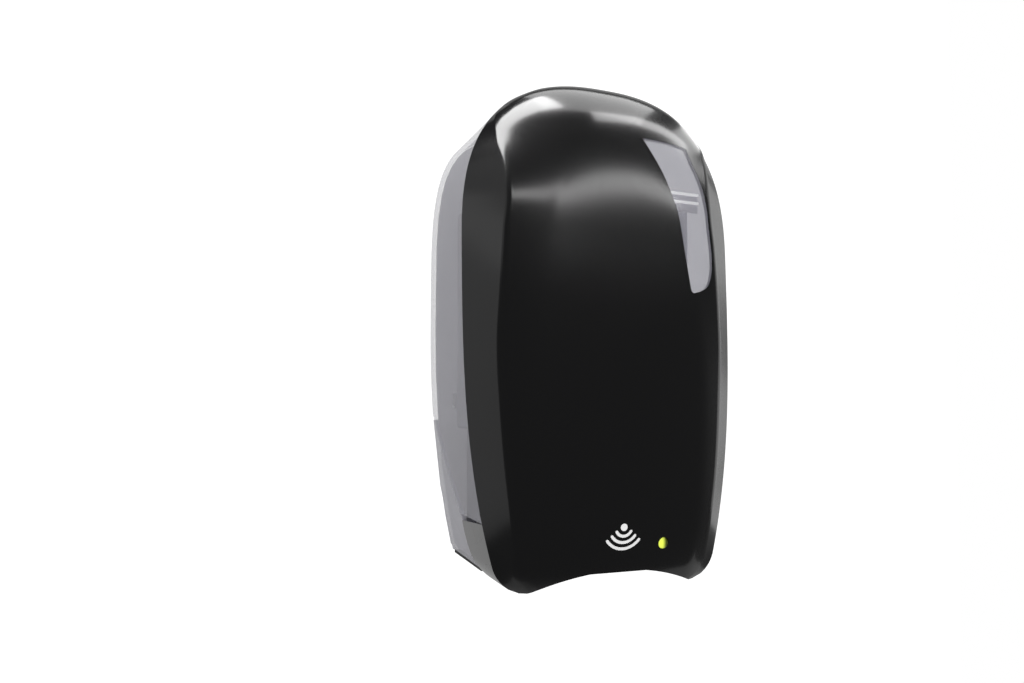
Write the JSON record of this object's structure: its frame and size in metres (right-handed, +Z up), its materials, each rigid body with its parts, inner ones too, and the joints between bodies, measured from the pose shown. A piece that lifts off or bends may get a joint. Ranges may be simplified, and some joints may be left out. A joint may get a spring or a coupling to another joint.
{
  "type": "automatic soap dispenser",
  "caption": "Touch-free wall soap dispenser with a hinged glossy cover and clear shell, level window, tank, hose pump, gear train, sensor pair, battery box and top latch.",
  "frame": {"origin": "middle of the back plate's wall face, at half the dispenser's height", "axes": "+Y into the wall, so the front looks along -Y; +X right as seen from the front; +Z up"},
  "size_m": [0.1626, 0.1181, 0.278],
  "materials": {
    "back_plate": "satin grey",
    "floor_panel": "matte black",
    "chassis": "satin grey",
    "steel": "satin",
    "tank": "milky clear",
    "pale_part": "satin",
    "seal": "matte",
    "hose": "smooth",
    "black_part": "matte black",
    "sensor": "dark clear",
    "board": "lacquered",
    "status_lens": "clear green",
    "cell": "satin",
    "red_lead": "smooth",
    "dark_lead": "smooth",
    "front_cover": "glossy black",
    "side_shell": "clear grey",
    "level_window": "clear grey",
    "sensing_label": "printed film",
    "gear": "satin",
    "brass_gear": "satin"
  },
  "bodies": {
    "housing": {"back_plate": "back_plate", "floor_panel": "floor_panel", "pump_chassis": "chassis", "hinge_pin_left": "steel", "hinge_pin_right": "steel", "tank": "tank", "tank_spout": "pale_part", "cap_seal": "seal", "pump_housing": "pale_part", "pump_cover": "chassis", "pump_tube": "hose", "gearbox_case": "chassis", "gearbox_cover": "chassis", "motor": "steel", "motor_end_cap": "pale_part", "nozzle": "pale_part", "lip_valve": "seal", "sensor_holder": "black_part", "infrared_emitter": "sensor", "infrared_receiver": "sensor", "sensor_window": "sensor", "control_board": "board", "power_switch": "steel", "dose_switch": "steel", "control_chip": "black_part", "status_light": "status_lens", "lead_socket": "pale_part", "battery_box": "black_part", "battery_1": "cell", "battery_2": "cell", "battery_3": "cell", "battery_4": "cell", "battery_contact_left": "steel", "battery_contact_right": "steel", "latch_guide": "back_plate", "wall_screw_1": "steel", "wall_screw_2": "steel", "wall_screw_3": "steel", "wall_screw_4": "steel", "battery_lead": "red_lead", "motor_lead": "dark_lead"},
    "cover": {"front_cover": "front_cover", "side_shell": "side_shell", "level_window": "level_window", "status_lens": "status_lens", "sensing_label": "sensing_label"},
    "latch": {"latch_tongue": "pale_part", "latch_spring": "steel"},
    "cap": {"tank_cap": "black_part"},
    "power_slider": {"power_knob": "black_part"},
    "dose_slider": {"dose_knob": "black_part"},
    "rotor": {"pump_rotor": "pale_part", "output_gear": "gear"},
    "roller_body_1": {"roller_1": "gear"},
    "roller_body_2": {"roller_2": "gear"},
    "roller_body_3": {"roller_3": "gear"},
    "compound": {"compound_gear": "gear"},
    "pinion": {"motor_pinion": "brass_gear"},
    "door": {"battery_door": "black_part"}
  },
  "joints": [
    {"name": "cover_hinge", "type": "hinge", "parent": "housing", "child": "cover", "pos_m": [0, -0.077, -0.109], "axis": [1, 0, 0], "range_deg": [0, 45]},
    {"name": "latch_slide", "type": "slide", "parent": "housing", "child": "latch", "axis": [0, 0, 1], "range_m": [0, 0.0022], "deforming": ["latch_spring"]},
    {"name": "tank_cap_turn", "type": "hinge", "parent": "housing", "child": "cap", "pos_m": [0, -0.06, 0.091], "axis": [0, 0, 1], "range_deg": [0, 90]},
    {"name": "power_switch_slide", "type": "slide", "parent": "housing", "child": "power_slider", "axis": [1, 0, 0], "range_m": [-0.002, 0.002]},
    {"name": "dose_switch_slide", "type": "slide", "parent": "housing", "child": "dose_slider", "axis": [1, 0, 0], "range_m": [-0.002, 0.002]},
    {"name": "rotor_spin", "type": "hinge", "parent": "housing", "child": "rotor", "pos_m": [-0.012, -0.071, -0.091], "axis": [0, -1, 0], "continuous": true},
    {"name": "compound_spin", "type": "hinge", "parent": "housing", "child": "compound", "pos_m": [0.00833, -0.05, -0.09645], "axis": [0, -1, 0], "continuous": true},
    {"name": "pinion_spin", "type": "hinge", "parent": "housing", "child": "pinion", "pos_m": [0.02586, -0.048, -0.10283], "axis": [0, -1, 0], "continuous": true},
    {"name": "battery_door_slide", "type": "slide", "parent": "housing", "child": "door", "axis": [0, 0, -1], "range_m": [0, 0.006]},
    {"name": "roller_1_spin", "type": "hinge", "parent": "rotor", "child": "roller_body_1", "pos_m": [-0.012, -0.071, -0.0833], "axis": [0, -1, 0], "continuous": true},
    {"name": "roller_2_spin", "type": "hinge", "parent": "rotor", "child": "roller_body_2", "pos_m": [-0.01867, -0.071, -0.09485], "axis": [0, -1, 0], "continuous": true},
    {"name": "roller_3_spin", "type": "hinge", "parent": "rotor", "child": "roller_body_3", "pos_m": [-0.00533, -0.071, -0.09485], "axis": [0, -1, 0], "continuous": true}
  ],
  "couplings": [
    {"joint": "compound_spin", "follows": "rotor_spin", "ratio": -3.3333},
    {"joint": "pinion_spin", "follows": "rotor_spin", "ratio": 12},
    {"joint": "roller_1_spin", "follows": "rotor_spin", "ratio": -3},
    {"joint": "roller_2_spin", "follows": "rotor_spin", "ratio": -3},
    {"joint": "roller_3_spin", "follows": "rotor_spin", "ratio": -3}
  ]
}
